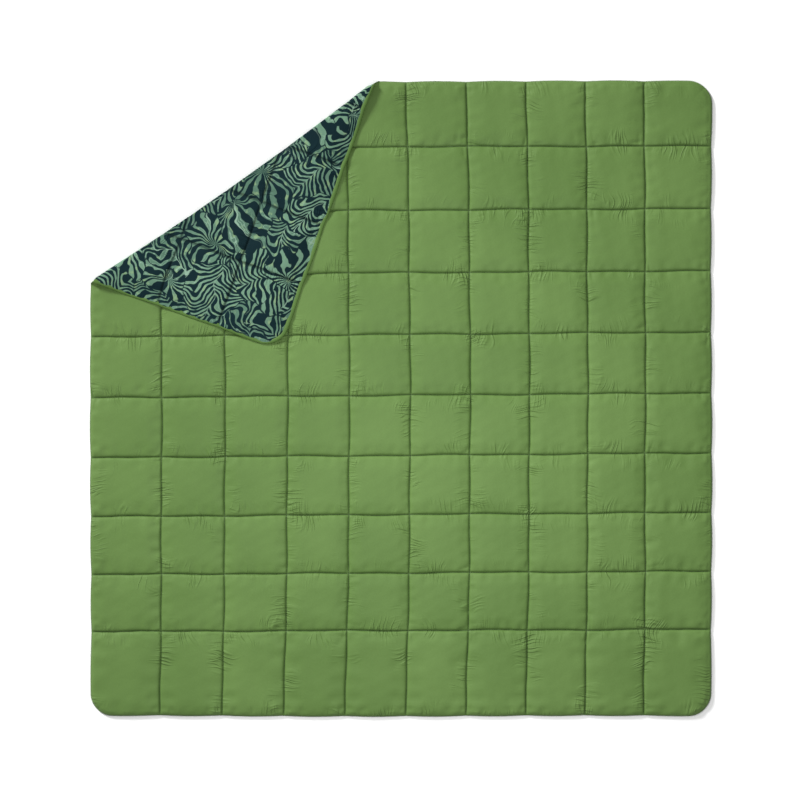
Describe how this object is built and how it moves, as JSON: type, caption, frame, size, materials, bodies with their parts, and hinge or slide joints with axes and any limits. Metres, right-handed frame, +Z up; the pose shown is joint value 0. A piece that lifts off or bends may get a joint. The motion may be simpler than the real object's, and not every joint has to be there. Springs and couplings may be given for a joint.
{
  "type": "camp blanket",
  "caption": "Square box-quilted camping blanket lying flat, with one corner turned back to show its printed lining.",
  "frame": {"origin": "middle of the footprint, on the ground", "axes": "+Z up through the thickness; +Y towards the far edge, the one that the fold starts from, along the longer side; +X to the right, away from the side that the fold ends on"},
  "size_m": [1.78, 1.82, 0.035],
  "materials": {
    "face_fabric": "smooth woven polyester, soft sheen",
    "lining_fabric": "smooth woven polyester with a navy and sage leaf print",
    "insulation": "matt fibre wadding",
    "binding": "ribbed woven tape",
    "thread": "twisted polyester thread"
  },
  "bodies": {
    "blanket": {"lining_fabric": "lining_fabric", "insulation": "insulation", "face_fabric": "face_fabric", "edge_binding": "binding", "edge_topstitch": "thread", "fold_face_fabric": "face_fabric", "fold_insulation": "insulation", "fold_lining_fabric": "lining_fabric", "fold_binding_left": "binding", "fold_binding_far": "binding", "column_stitch_1": "thread", "column_stitch_2": "thread", "column_stitch_3": "thread", "column_stitch_4": "thread", "column_stitch_5": "thread", "column_stitch_6": "thread", "column_stitch_7": "thread", "column_stitch_8": "thread", "column_stitch_9": "thread", "row_stitch_1": "thread", "row_stitch_2": "thread", "row_stitch_3": "thread", "row_stitch_4": "thread", "row_stitch_5": "thread", "row_stitch_6": "thread", "row_stitch_7": "thread", "row_stitch_8": "thread", "row_stitch_9": "thread"},
    "folded_corner": {"corner_lining_fabric": "lining_fabric", "corner_insulation": "insulation", "corner_face_fabric": "face_fabric", "corner_edge_binding": "binding", "corner_edge_topstitch": "thread", "corner_column_stitch_1": "thread", "corner_column_stitch_2": "thread", "corner_column_stitch_3": "thread", "corner_column_stitch_4": "thread", "corner_row_stitch_1": "thread", "corner_row_stitch_2": "thread"}
  },
  "joints": [
    {"name": "corner_fold", "type": "hinge", "parent": "blanket", "child": "folded_corner", "pos_m": [-0.48374, 0.61982, 0.0175], "axis": [-0.8176, -0.5757, 0], "range_deg": [0, 180], "deforming": ["fold_face_fabric", "fold_insulation", "fold_lining_fabric", "fold_binding_left", "fold_binding_far"]}
  ]
}
